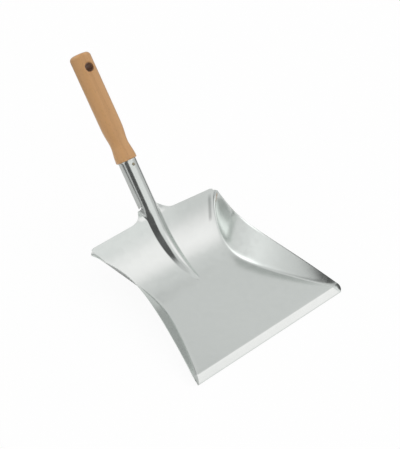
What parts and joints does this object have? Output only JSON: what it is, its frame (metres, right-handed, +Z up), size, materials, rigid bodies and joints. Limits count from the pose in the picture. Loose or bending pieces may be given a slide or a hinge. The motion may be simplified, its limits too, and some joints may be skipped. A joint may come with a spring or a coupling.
{
  "type": "dust pan",
  "caption": "Hand dust pan of pressed galvanised sheet steel with a rolled socket and a turned wooden handle with a hanging hole.",
  "frame": {"origin": "centre of the bounding box at the ground: under the middle of the whole pan and handle, with the lip's edge and the start of the curved back on the ground", "axes": "+Y from the lip towards the handle's free end, +Z up, X across the pan's symmetric width"},
  "size_m": [0.23, 0.3566, 0.2118],
  "materials": {
    "galvanised_sheet": "zinc-coated sheet, satin, slightly mottled",
    "beech_wood": "turned beech, plain, lightly oiled",
    "nail_metal": "dull brassy nail head"
  },
  "bodies": {
    "root": {"pan_sheet": "galvanised_sheet", "wooden_handle": "beech_wood", "fixing_nail": "nail_metal"}
  },
  "joints": []
}
